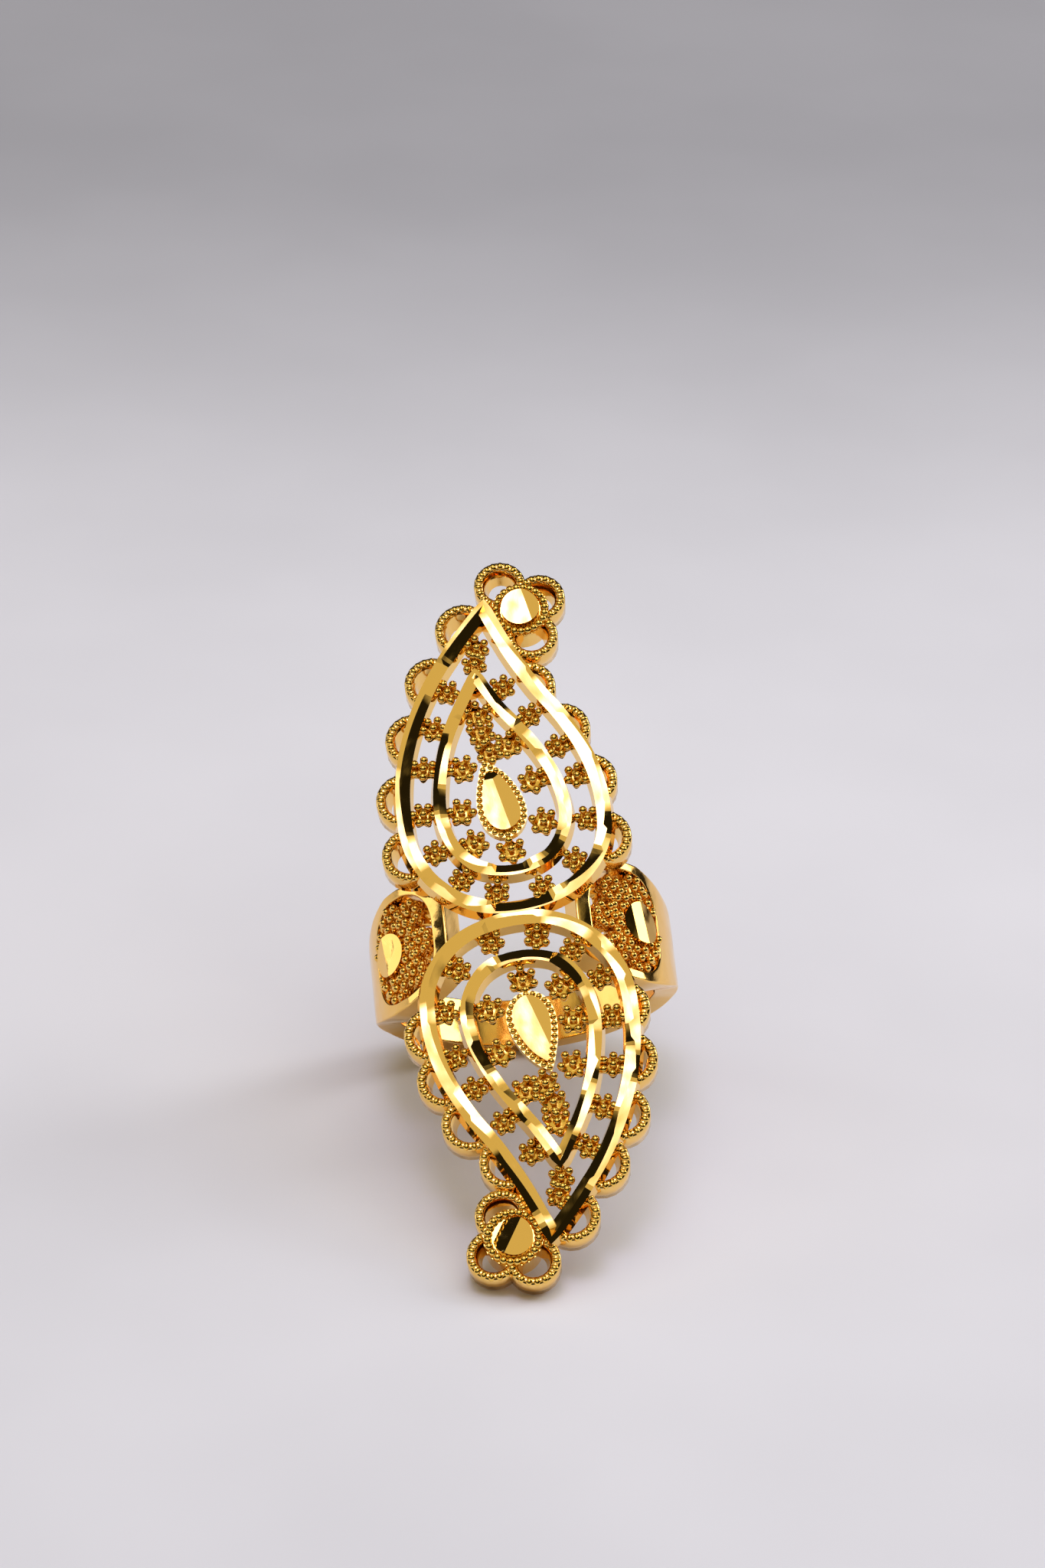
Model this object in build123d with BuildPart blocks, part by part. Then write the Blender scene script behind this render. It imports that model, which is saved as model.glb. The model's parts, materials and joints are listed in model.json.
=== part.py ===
"""A long pierced finger ring in gold-plated brass.

Ring frame, in millimetres: X runs across the face, Y along it and along the finger, and Z out of the face.
The top of the face lies at Z = 0, and half a turn about Z carries one teardrop onto the other.
At the end the whole ring is laid on the ground as it comes to rest: on two petals and the rim of the band.
"""
import os
from math import atan2, cos, degrees, hypot, pi, radians, sin

from build123d import *

# finger hole and band
finger_radius = 8.3
band_wall = 1.15
band_width = 3.3
shoulder_wall = 2.05
shoulder_width = 8.2
strip_place = 4.6
strip_width = 0.8
strip_length = 5.6
strip_rise = 1.4
shank_turn = 2.5

# face
face_depth = 2.4
lattice_depth = 1.0
teardrop_length = 21.6
teardrop_half_width = 6.6
outer_frame_width = 1.15
inner_frame_width = 0.95
frame_facet = 1.75

# rosettes, scallops and centre drops
rosettes_along = 24
rosettes_across = 7.35
rosette_radius = max(teardrop_length / rosettes_along, teardrop_half_width / rosettes_across)
field_rosette_radius = 1.2 * rosette_radius
rosette_waist = 0.72
rosette_lobes = 6
scallop_radius = 1.85
wire_width = 0.6
drop_facet = 0.55
drop_border = 0.4

# end flowers
disc_radius = 1.25
disc_border = 0.7
petal_radius = 1.7

# shoulder panels
window_length = 6.1
window_width = 6.9
window_corner = 2.4
window_angle = 47.2
panel_rosette_radius = 1.1
panel_disc_radius = 1.42
panel_rise = 0.2
panel_recess = 0.15
panel_seat = 0.3

# gaps smaller than this, in square millimetres, are not cut
least_gap = 0.12

# points of a smooth curve from one table row to the next
curve_steps = 8

# the search for the ring's lean at rest, in degrees from lying flat on its back
least_lean = 10
most_lean = 80
lean_halvings = 60

# how far each level lies below the top of the frames
wire_drop = 0.45
rosette_drop = 0.2

# half a frame each, from its point round the bulging side, as shares of the half width and the length
OUTER_FRAME = (  # across, along
    (0.000, 1.000), (-0.312, 0.888), (-0.583, 0.771), (-0.794, 0.642), (-0.932, 0.505), (-0.982, 0.362),
    (-0.932, 0.220), (-0.690, 0.100), (-0.296, 0.028), (0.203, 0.026), (0.627, 0.081), (0.898, 0.192),
    (0.943, 0.334), (0.852, 0.475), (0.659, 0.606), (0.407, 0.728), (0.191, 0.856),
)
INNER_FRAME = (  # across, along
    (-0.150, 0.780), (-0.340, 0.677), (-0.499, 0.573), (-0.591, 0.462), (-0.626, 0.348), (-0.543, 0.237),
    (-0.303, 0.155), (0.080, 0.138), (0.402, 0.183), (0.570, 0.281), (0.539, 0.394), (0.402, 0.500),
    (0.230, 0.588), (0.046, 0.670),
)
CHANNEL_ROSETTES = (  # across, along
    (-0.105, 0.880), (-0.145, 0.826), (-0.440, 0.743), (-0.614, 0.627), (-0.750, 0.500),
    (-0.795, 0.352), (-0.720, 0.225), (-0.492, 0.130), (-0.167, 0.079), (0.273, 0.079),
    (0.614, 0.155), (0.780, 0.282), (0.727, 0.426), (0.576, 0.528), (0.333, 0.639),
    (0.106, 0.741),
)
FIELD_ROSETTES = (  # across, along
    (-0.167, 0.657), (-0.152, 0.597), (-0.091, 0.535), (0.098, 0.551), (-0.371, 0.486),
    (0.295, 0.426), (-0.424, 0.347), (0.356, 0.289), (-0.333, 0.241), (0.015, 0.208),
)
# where each scallop has its centre
SCALLOPS = {  # half: across, along
    "upper": (
        (-0.220, 0.948), (-0.573, 0.781), (-0.816, 0.601), (-0.962, 0.409), (-0.959, 0.229),
        (0.346, 0.734), (0.635, 0.584), (0.837, 0.410), (0.909, 0.220),
    ),
    "lower": (
        (-0.193, 0.938), (-0.526, 0.791), (-0.770, 0.649), (-0.901, 0.485), (-0.888, 0.324),
        (0.331, 0.759), (0.648, 0.630), (0.837, 0.489), (0.916, 0.344),
    ),
}
CENTRE_DROP = (  # across, along, from its point round the bulging side
    (-0.139, 0.478), (-0.170, 0.440), (-0.202, 0.394), (-0.209, 0.347), (-0.185, 0.306), (-0.121, 0.278),
    (-0.030, 0.265), (0.068, 0.275), (0.133, 0.301), (0.148, 0.331), (0.121, 0.370), (0.061, 0.410),
    (-0.023, 0.447),
)
FIELD_MIDDLE = (-0.030, 0.333)
DISC_CENTRE = (0.364, 0.991)
PETALS = {  # half: across, along
    "upper": ((0.188, 1.083), (0.561, 1.027), (0.447, 0.905)),
    "lower": ((0.197, 1.0625), (0.561, 1.035), (0.447, 0.919)),
}
# what fills a shoulder window, as shares of half its length and width: towards the band, along the finger
PANEL_ROSETTES = (
    (-0.62, 0.03), (-0.38, 0.58), (0.25, 0.71), (0.72, 0.51), (0.84, 0.00), (0.72, -0.51), (0.25, -0.71),
    (-0.38, -0.60), (-0.15, 0.25), (-0.16, -0.28),
)
PANEL_DISC = (0.36, 0.00)
# half the shank seen from the side: how much of the shoulder's extra width, how far down
SHANK_SIDE = (
    (0.28, 0.040), (0.78, 0.100), (1.00, 0.170), (0.98, 0.250), (0.74, 0.360),
    (0.32, 0.500), (0.08, 0.660), (0.00, 0.820), (0.00, 1.020),
)

bore_height = -(face_depth + finger_radius)
shank_radius = finger_radius + (band_wall + shoulder_wall) / 2
shank_height = bore_height + (shoulder_wall - band_wall) / 2
shank_drop = -shank_height + shank_radius


def placed(row):
    """A table row as a point of the upper teardrop."""
    return row[0] * teardrop_half_width, row[1] * teardrop_length


def smooth(rows):
    """A closed curve through the rows, sharp at the first one."""
    points = [placed(row) for row in rows]
    count = len(points)
    curve = []
    for index in range(count):
        before = points[index - 1] if index else points[0]
        start, end = points[index], points[(index + 1) % count]
        after = points[(index + 2) % count] if index + 1 < count else end
        for step in range(curve_steps):
            t = step / curve_steps
            weights = (
                (-t + 2 * t * t - t**3) / 2,
                (2 - 5 * t * t + 3 * t**3) / 2,
                (t + 4 * t * t - 3 * t**3) / 2,
                (t**3 - t * t) / 2,
            )
            near = (before, start, end, after)
            curve.append(tuple(sum(w * p[axis] for w, p in zip(weights, near)) for axis in (0, 1)))
    return curve


def facets(curve, length):
    """The closed curve as straight cuts of about one length."""
    closed = curve + curve[:1]
    runs = [hypot(b[0] - a[0], b[1] - a[1]) for a, b in zip(closed, closed[1:])]
    count = round(sum(runs) / length)
    corners, passed, run = [], 0.0, 0
    for corner in range(count):
        goal = corner * sum(runs) / count
        while passed + runs[run] < goal:
            passed += runs[run]
            run += 1
        share = (goal - passed) / runs[run]
        a, b = closed[run], closed[run + 1]
        corners.append((a[0] + share * (b[0] - a[0]), a[1] + share * (b[1] - a[1])))
    return corners


def facing_middle(row):
    """The place of a rosette, turned so that one lobe points to the middle of the centre drop."""
    x, y = placed(row)
    middle = placed(FIELD_MIDDLE)
    return Location((x, y, 0), (0, 0, degrees(atan2(y - middle[1], x - middle[0]))))


def rosette(radius):
    """The corners of a lobed rosette: the tip of each lobe and the waist after it."""
    reaches = (radius, radius * rosette_waist) * rosette_lobes
    turn = pi / rosette_lobes
    return [(reach * cos(k * turn), reach * sin(k * turn)) for k, reach in enumerate(reaches)]


outer_corners = facets(smooth(OUTER_FRAME), frame_facet)
inner_corners = facets(smooth(INNER_FRAME), frame_facet)
drop_corners = facets(smooth(CENTRE_DROP), drop_facet)


def frame_sketch(corners, width, turn):
    """A cut frame of one width along its centre line."""
    with BuildSketch() as frame:
        with BuildLine():
            Polyline(*corners, close=True)
        make_face()
        offset(amount=width / 2, kind=Kind.INTERSECTION)
        offset(amount=-width, kind=Kind.INTERSECTION, mode=Mode.SUBTRACT)
    return frame.sketch.rotate(Axis.Z, turn)


def drop_sketch(border, turn):
    """A centre drop, pointed like its teardrop, with or without its beaded border."""
    with BuildSketch() as drop:
        with BuildLine():
            Polyline(*drop_corners, close=True)
        make_face()
        if border:
            offset(amount=border)
    return drop.sketch.rotate(Axis.Z, turn)


def rosette_sketch(turn):
    """All rosettes of one teardrop."""
    with BuildSketch() as rosettes:
        for rows, radius in ((CHANNEL_ROSETTES, rosette_radius), (FIELD_ROSETTES, field_rosette_radius)):
            with Locations(*(facing_middle(row) for row in rows)):
                Polygon(*rosette(radius), align=None)
    return rosettes.sketch.rotate(Axis.Z, turn)


def wire_sketch(half, turn):
    """The wire loops outside one teardrop: scallops along both sides and the petals of its end flower."""
    centres = [placed(row) for row in SCALLOPS[half]]
    petals = [placed(row) for row in PETALS[half]]
    with BuildSketch() as loops:
        with Locations(*centres):
            Circle(scallop_radius)
        with Locations(*petals):
            Circle(petal_radius)
        with Locations(*centres):
            Circle(scallop_radius - wire_width, mode=Mode.SUBTRACT)
        with Locations(*petals):
            Circle(petal_radius - wire_width, mode=Mode.SUBTRACT)
        with BuildLine():
            Polyline(*outer_corners, close=True)
        make_face(mode=Mode.SUBTRACT)
    return loops.sketch.rotate(Axis.Z, turn)


def disc_sketch(border, turn):
    """The polished disc of an end flower, with or without its beaded border."""
    with BuildSketch() as disc:
        with Locations(placed(DISC_CENTRE)):
            Circle(disc_radius + border)
        with BuildLine():
            Polyline(*outer_corners, close=True)
        make_face(mode=Mode.SUBTRACT)
    return disc.sketch.rotate(Axis.Z, turn)


HALVES = (("upper", 0), ("lower", 180))  # teardrop, turn


def without_specks(sketch):
    """The sketch with its smallest gaps closed."""
    return Sketch() + [
        Face(face.outer_wire(), [gap for gap in face.inner_wires() if Face(gap).area > least_gap])
        for face in sketch.faces()
    ]


def lattice_sketch():
    """All that stands inside the loops, seen from above: frames, drops and rosettes."""
    with BuildSketch() as whole:
        for half, turn in HALVES:
            add(frame_sketch(outer_corners, outer_frame_width, turn))
            add(frame_sketch(inner_corners, inner_frame_width, turn))
            add(drop_sketch(drop_border, turn))
            add(rosette_sketch(turn))
    return without_specks(whole.sketch)


def rim_sketch():
    """The deep rim of the face, seen from above: loops, petals and end discs."""
    with BuildSketch() as whole:
        for half, turn in HALVES:
            add(wire_sketch(half, turn))
            add(disc_sketch(disc_border, turn))
    return without_specks(whole.sketch)


def window_plane(side):
    """The plane through the finger's axis that looks out through one shoulder (-1 left, 1 right)."""
    lean = radians(window_angle)
    return Plane(
        origin=(0, 0, bore_height),
        x_dir=(side * cos(lean), 0, -sin(lean)),
        z_dir=(side * sin(lean), 0, cos(lean)),
    )


def window_places(rows):
    """Table rows as points of a shoulder window."""
    return [(row[0] * window_length / 2, row[1] * window_width / 2) for row in rows]


# the pierced face, as high as its wires: a thin lattice in a deep rim
with BuildPart() as ground:
    for depth, plan in ((face_depth, rim_sketch()), (lattice_depth, lattice_sketch())):
        with BuildSketch(Plane.XY.offset(-depth)):
            add(plan)
        extrude(amount=depth - wire_drop)

# rosettes and beaded borders, a little higher
with BuildPart() as granules:
    with BuildSketch(Plane.XY.offset(-wire_drop)):
        for half, turn in HALVES:
            add(rosette_sketch(turn))
            add(disc_sketch(disc_border, turn))
            add(drop_sketch(drop_border, turn))
    extrude(amount=wire_drop - rosette_drop)

# frames, drops and discs, cut bright on top and highest of all
with BuildPart() as cut_work:
    with BuildSketch(Plane.XY.offset(-wire_drop)):
        for half, turn in HALVES:
            add(frame_sketch(outer_corners, outer_frame_width, turn))
            add(frame_sketch(inner_corners, inner_frame_width, turn))
            add(drop_sketch(0, turn))
            add(disc_sketch(0, turn))
    extrude(amount=wire_drop)

# band and shoulders: one wall round the finger, open under the face and narrow at the back
with BuildPart() as shank:
    with BuildSketch(Plane.XZ):
        with Locations((0, shank_height)):
            Circle(shank_radius)
        with Locations((0, bore_height)):
            Circle(finger_radius, mode=Mode.SUBTRACT)
            Rectangle(
                2 * strip_place - strip_width,
                finger_radius + 2 * shoulder_wall,
                align=(Align.CENTER, Align.MIN),
                mode=Mode.SUBTRACT,
            )
    extrude(amount=shoulder_width, both=True)
    half_side = [
        (band_width / 2 + wide * (shoulder_width - band_width) / 2, -down * shank_drop)
        for wide, down in SHANK_SIDE
    ]
    with BuildSketch(Plane.YZ):
        with BuildLine():
            Polyline(*half_side, *((-across, up) for across, up in reversed(half_side)), close=True)
        make_face()
    extrude(amount=2 * shank_radius, both=True, mode=Mode.INTERSECT)
    for side in (-1, 1):
        with BuildSketch(window_plane(side)):
            RectangleRounded(window_length, window_width, window_corner)
        extrude(amount=2 * shank_radius, mode=Mode.SUBTRACT)
    with Locations((-strip_place, 0, -wire_drop), (strip_place, 0, -wire_drop)):
        Box(strip_width, strip_length, strip_rise, align=(Align.CENTER, Align.CENTER, Align.MAX))

# what fills each shoulder window: a little proud of the wall outside, and let in on the finger's side
with BuildPart() as panels:
    for side in (-1, 1):
        with BuildSketch(window_plane(side).offset(finger_radius - band_wall)):
            with Locations(*window_places(PANEL_ROSETTES)):
                Polygon(*rosette(panel_rosette_radius), align=None)
            with Locations(*window_places([PANEL_DISC])):
                Circle(panel_disc_radius)
            RectangleRounded(
                window_length + 2 * panel_seat,
                window_width + 2 * panel_seat,
                window_corner + panel_seat,
                mode=Mode.INTERSECT,
            )
        extrude(amount=2 * shoulder_wall)
    with BuildSketch(Plane.XZ):
        with Locations((0, shank_height)):
            Circle(shank_radius + panel_rise)
        with Locations((0, bore_height)):
            Circle(finger_radius + panel_recess, mode=Mode.SUBTRACT)
    extrude(amount=shoulder_width, both=True, mode=Mode.INTERSECT)

# all of it soldered into one piece, with the shank turned a little about the finger
finger = Axis((0, 0, bore_height), (0, 1, 0))
with BuildPart() as soldered:
    add([ground.part, granules.part, cut_work.part])
    add([wall.rotate(finger, -shank_turn) for wall in (shank.part, panels.part)])


def resting_normal():
    """The upward direction, in the ring's frame, when two petals and the rim of the band touch the ground."""
    first, second = ((-x, -y) for x, y in (placed(row) for row in PETALS["lower"][:2]))
    apart = hypot(first[0] - second[0], first[1] - second[1])
    sideways = (-(first[1] - second[1]) / apart, (first[0] - second[0]) / apart)
    if sideways[1] < 0:
        sideways = (-sideways[0], -sideways[1])
    offset_up = shank_height - bore_height
    rim_across = -offset_up * sin(radians(shank_turn))
    rim_up = bore_height + offset_up * cos(radians(shank_turn))
    low, high = radians(least_lean), radians(most_lean)
    for _ in range(lean_halvings):
        lean = (low + high) / 2
        normal = (sin(lean) * sideways[0], sin(lean) * sideways[1], cos(lean))
        petal = normal[0] * first[0] + normal[1] * first[1] - normal[2] * face_depth - sin(lean) * petal_radius
        rim = normal[0] * rim_across - normal[1] * band_width / 2 + normal[2] * rim_up
        rim -= hypot(normal[0], normal[2]) * shank_radius
        if petal > rim:
            low = lean
        else:
            high = lean
    return Vector(*normal)


up = resting_normal()
across = (Vector(1, 0, 0) - up * up.X).normalized()
ground_plane = Plane(origin=(0, 0, 0), x_dir=across, z_dir=up)
resting = ground_plane.to_local_coords(Compound(soldered.solids()))
box = resting.bounding_box()

with BuildPart() as filigree_ring:
    middle = Location((-(box.min.X + box.max.X) / 2, -(box.min.Y + box.max.Y) / 2, -box.min.Z))
    add(resting.moved(middle), clean=False)

filigree_ring.part.label = "filigree_ring"
os.makedirs("parts", exist_ok=True)
export_step(filigree_ring.part, "parts/filigree_ring.step")
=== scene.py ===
"""The finish of a long pierced finger ring in gold plate.

Cut frames, granulated rosettes, beaded wire and a polished band are modelled on the bench, in the ring's
own frame: X runs across the face, Y along it and along the finger, Z out of the face, and the top of the
face lies at Z = 0. The pieces are then laid down as the ring rests on the ground. Half a turn about Z
carries one teardrop onto the other. Sizes are in metres.
"""
import json
from math import atan2, cos, hypot, pi, radians, sin, sqrt, tan

import bmesh
import bpy
import numpy as np
from bpy.props import FloatProperty, FloatVectorProperty, PointerProperty
from mathutils import Matrix, Vector


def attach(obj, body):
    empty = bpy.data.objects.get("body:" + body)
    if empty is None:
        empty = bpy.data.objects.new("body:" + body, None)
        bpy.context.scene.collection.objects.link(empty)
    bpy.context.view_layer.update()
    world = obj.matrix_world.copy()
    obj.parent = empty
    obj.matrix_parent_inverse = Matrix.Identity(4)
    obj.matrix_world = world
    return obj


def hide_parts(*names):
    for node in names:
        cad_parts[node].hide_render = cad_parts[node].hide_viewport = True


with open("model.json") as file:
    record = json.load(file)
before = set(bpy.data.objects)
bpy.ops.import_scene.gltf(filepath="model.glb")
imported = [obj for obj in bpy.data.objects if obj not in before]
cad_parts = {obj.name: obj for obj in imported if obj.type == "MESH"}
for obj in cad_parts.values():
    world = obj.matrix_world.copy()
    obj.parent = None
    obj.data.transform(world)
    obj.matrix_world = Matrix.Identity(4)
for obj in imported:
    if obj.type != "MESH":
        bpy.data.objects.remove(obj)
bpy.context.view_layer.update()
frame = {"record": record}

bl_info = {
    "name": "Filigree Ring Finish",
    "version": (1, 0, 0),
    "blender": (4, 5, 0),
    "location": "View3D > Sidebar > Ring",
    "description": "Models and finishes a pierced gold-plated finger ring round its packed solid",
    "category": "Object",
}

MM = 0.001
NODE = "filigree_ring"
HALVES = (("upper", 0), ("lower", pi))  # teardrop, turn
SIDES = (("right", 0), ("left", pi))  # shoulder, turn

LEAST_MITRE = 0.75  # keeps the frames' points from growing long
SEAM = 0.0005 * MM  # points closer than this are one
CUT_SEAM = 0.0001 * MM
STOCK = 0.3 * MM  # how far drops and end discs stand above the face before they are cut
PANEL_STOCK = 0.4 * MM
PANEL_FOOT = -1.75 * MM  # where the filling of a shoulder window begins
DISC_SIDES = 40
LOBES = 6
POINTS_PER_LOBE = 6
POST_WAIST = 0.72  # a post's radius between its lobes, as a share of its reach
POST_REACH = 0.94  # as a share of the rosette's reach
POST_TOP = 2.2  # below the rosette's top, in granule radii
GRANULE_ROWS = ((1.2, 0, 1.0), (2.1, 0.5, 0.9), (3.3, 0, 1.0))  # depth in radii, turn in lobes, reach
UNEVEN = 0.09  # how far granules stray from their places, in granule radii
FLATTENED = 0.92  # a granule's height, as a share of its width
LAST_BEARING = radians(78)  # where the shoulder ends and the band begins
WALL_RINGS = 5  # from the window to the shoulder's edge
BAND_STEPS = 22
BEND = 10 * MM  # a flat pattern's length for one radian
BEAD_SHAPE = (0.85, 1.12, 1, 1)  # a bead on a wire: along the wire, across it, its height
PATCH_WAVES, STREAK_WAVES, SWELL_WAVES = 900, 2600, 520  # how fine the plating is uneven, in waves a metre
SCRATCH_DEPTH, SWELL_DEPTH = 0.02 * MM, 0.16 * MM

# a frame each, from its point all the way round, as shares of the half width and the length
OUTER_FRAME = (  # across, along
    (0, 1), (-0.312, 0.888), (-0.583, 0.771), (-0.794, 0.642), (-0.932, 0.505), (-0.982, 0.362),
    (-0.932, 0.22), (-0.69, 0.1), (-0.296, 0.028), (0.203, 0.026), (0.627, 0.081), (0.898, 0.192),
    (0.943, 0.334), (0.852, 0.475), (0.659, 0.606), (0.407, 0.728), (0.191, 0.856),
)
INNER_FRAME = (  # across, along
    (-0.15, 0.78), (-0.34, 0.677), (-0.499, 0.573), (-0.591, 0.462), (-0.626, 0.348),
    (-0.543, 0.237), (-0.303, 0.155), (0.08, 0.138), (0.402, 0.183), (0.57, 0.281), (0.539, 0.394),
    (0.402, 0.5), (0.23, 0.588), (0.046, 0.67),
)
CHANNEL_ROSETTES = (  # across, along
    (-0.105, 0.88), (-0.145, 0.826), (-0.44, 0.743), (-0.614, 0.627), (-0.75, 0.5), (-0.795, 0.352),
    (-0.72, 0.225), (-0.492, 0.13), (-0.167, 0.079), (0.273, 0.079), (0.614, 0.155), (0.78, 0.282),
    (0.727, 0.426), (0.576, 0.528), (0.333, 0.639), (0.106, 0.741),
)
FIELD_ROSETTES = (  # across, along
    (-0.167, 0.657), (-0.152, 0.597), (-0.091, 0.535), (0.098, 0.551), (-0.371, 0.486),
    (0.295, 0.426), (-0.424, 0.347), (0.356, 0.289), (-0.333, 0.241), (0.015, 0.208),
)
# where each scallop has its centre
SCALLOPS = {  # half: across, along
    "upper": (
        (-0.22, 0.948), (-0.573, 0.781), (-0.816, 0.601), (-0.962, 0.409), (-0.959, 0.229),
        (0.346, 0.734), (0.635, 0.584), (0.837, 0.41), (0.909, 0.22),
    ),
    "lower": (
        (-0.193, 0.938), (-0.526, 0.791), (-0.77, 0.649), (-0.901, 0.485), (-0.888, 0.324),
        (0.331, 0.759), (0.648, 0.63), (0.837, 0.489), (0.916, 0.344),
    ),
}
CENTRE_DROP = (  # across, along, from its point round the bulging side
    (-0.139, 0.478), (-0.17, 0.44), (-0.202, 0.394), (-0.209, 0.347), (-0.185, 0.306),
    (-0.121, 0.278), (-0.03, 0.265), (0.068, 0.275), (0.133, 0.301), (0.148, 0.331), (0.121, 0.37),
    (0.061, 0.41), (-0.023, 0.447),
)
FIELD_MIDDLE = (-0.03, 0.333)
DISC_CENTRE = (0.364, 0.991)
PETALS = {  # half: across, along
    "upper": ((0.188, 1.083), (0.561, 1.027), (0.447, 0.905)),
    "lower": ((0.197, 1.0625), (0.561, 1.035), (0.447, 0.919)),
}
# what fills a shoulder window, as shares of half its length and width: towards the band, along the finger
PANEL_ROSETTES = (
    (-0.62, 0.03), (-0.38, 0.58), (0.25, 0.71), (0.72, 0.51), (0.84, 0), (0.72, -0.51),
    (0.25, -0.71), (-0.38, -0.6), (-0.15, 0.25), (-0.16, -0.28),
)
PANEL_DISC = (0.36, 0)
# half the shank seen from the side: how much of the shoulder's extra width, how far down
SHANK_SIDE = (
    (0.28, 0.04), (0.78, 0.1), (1, 0.17), (0.98, 0.25), (0.74, 0.36), (0.32, 0.5), (0.08, 0.66),
    (0, 0.82), (0, 1.02),
)
# the bright cuts round each frame: where one begins, the falls of its outer and inner slope in degrees,
# and where its ridge starts and ends, from -1 at the inner edge to 1 at the outer
OUTER_CUTS = {
    "upper": (
        (0, 6, 27, 0.3, 0.5), (0.088, 15, 14, -0.2, 0.1), (0.144, 15, 27, 0.1, 0.4),
        (0.25, 5, 27, 0.5, 0.1), (0.33, 4, 5, 0, 0.5), (0.385, 15, 16, 0.2, -0.2),
        (0.41, 4, 14, -0.3, 0.6), (0.445, 15, 4, 0.6, -0.3), (0.475, 4, 27, 0.7, 0.8),
        (0.55, 4, 5, 0.2, -0.2), (0.575, 5, 27, -0.4, 0.6), (0.635, 5, 4, 0, 0.4),
        (0.665, 27, 4, -0.2, 0.3), (0.695, 4, 5, 0.1, 0.5), (0.76, 15, 3, 0.7, 0.4),
        (0.83, 3, 6, -0.2, 0.4), (0.9, 15, 4, 0.7, 0.2), (0.95, 5, 4, 0.2, 0),
    ),
    "lower": (
        (0, 27, 26, 0.3, 0), (0.08, 5, 27, 0.3, 0.1), (0.144, 4, 27, 0, -0.4),
        (0.175, 4, 5, -0.3, 0.3), (0.225, 27, 4, 0.6, 0.2), (0.26, 4, 26, -0.2, -0.6),
        (0.287, 4, 5, 0.2, -0.2), (0.342, 14, 4, 0.3, -0.4), (0.39, 4, 13, 0, 0.5),
        (0.414, 13, 4, 0.5, -0.1), (0.482, 4, 14, 0.2, 0.5), (0.543, 15, 16, 0, 0.3),
        (0.614, 14, 21, 0.3, -0.1), (0.66, 16, 14, 0.2, 0), (0.682, 4, 5, 0, 0.2),
        (0.7, 4, 14, -0.1, -0.5), (0.786, 5, 4, 0.3, 0), (0.83, 14, 4, 0.4, 0),
        (0.864, 15, 14, 0.1, 0.3), (0.895, 27, 14, 0.3, -0.1), (0.982, 5, 4, 0, 0),
    ),
}
INNER_CUTS = {
    "upper": (
        (0, 15, 14, 0.2, -0.2), (0.09, 14, 15, 0.4, -0.4), (0.155, 27, 6, -0.1, 0.3),
        (0.25, 26, 27, 0, 0.2), (0.31, 4, 5, 0.3, 0), (0.335, 4, 15, 0, 0.5),
        (0.395, 15, 4, 0.5, -0.5), (0.46, 4, 27, 0.5, 0.6), (0.53, 5, 4, 0, 0.3),
        (0.57, 27, 26, 0.2, -0.2), (0.63, 4, 5, 0.5, -0.2), (0.69, 5, 4, 0.2, 0.5),
        (0.8, 4, 15, -0.2, -0.6), (0.87, 15, 4, 0.5, 0.1), (0.925, 27, 4, -0.1, 0.3),
    ),
    "lower": (
        (0, 27, 20, 0.2, 0), (0.07, 4, 27, 0.1, -0.3), (0.139, 4, 5, -0.2, 0.2),
        (0.18, 27, 4, 0.2, 0.7), (0.203, 14, 4, 0.2, -0.4), (0.276, 4, 14, 0.6, 0),
        (0.33, 4, 5, 0.2, 0), (0.361, 15, 27, 0.2, 0.4), (0.437, 27, 4, -0.6, -0.6),
        (0.5, 27, 5, -0.7, -0.3), (0.555, 4, 15, 0.4, 0), (0.6, 15, 16, 0, 0.3),
        (0.645, 16, 24, 0.2, 0), (0.679, 4, 5, 0.2, 0), (0.72, 5, 27, 0.7, 0.5),
        (0.79, 4, 5, 0, 0.4), (0.833, 15, 24, 0.2, -0.3), (0.87, 15, 4, -0.1, 0.4),
        (0.9, 27, 14, 0.3, 0), (0.93, 4, 5, 0.1, 0),
    ),
}
# the cuts across drops and discs: bearing and fall in degrees, and how far from the middle each starts,
# in mm
DROP_CUTS = {
    "upper": ((193, 5, 0), (13, 15, 0.15), (103, 28, 2.2)),
    "lower": ((13, 5, -0.2), (200, 15, 0.3)),
}
DISC_CUTS = {
    "upper": ((200, 4, 0), (10, 15, 0.55)),
    "lower": ((330, 31, 0), (150, 14, 0)),
}
PANEL_CUTS = {
    "right": ((188, 20, 0.7), (188, 2, 0), (8, 16, 0.1)),
    "left": ((188, 6, 0.5), (188, 2, 0), (8, 14, 0.3)),
}


def length(name, description, default):
    """A length that a user can set, in metres."""
    return FloatProperty(name=name, description=description, default=default, unit="LENGTH", precision=5)


def angle(name, description, default):
    """An angle that a user can set, given in degrees."""
    return FloatProperty(name=name, description=description, default=radians(default), unit="ROTATION")


def share(name, description, default):
    """A share between nothing and all."""
    return FloatProperty(
        name=name, description=description, default=default, min=0, max=1, subtype="FACTOR"
    )


def colour(name, description, default):
    """A linear colour."""
    return FloatVectorProperty(
        name=name, description=description, default=default, min=0, max=1, subtype="COLOR"
    )


def power(name, description, default):
    """The strength of a light."""
    return FloatProperty(name=name, description=description, default=default, min=0, unit="POWER")


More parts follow.
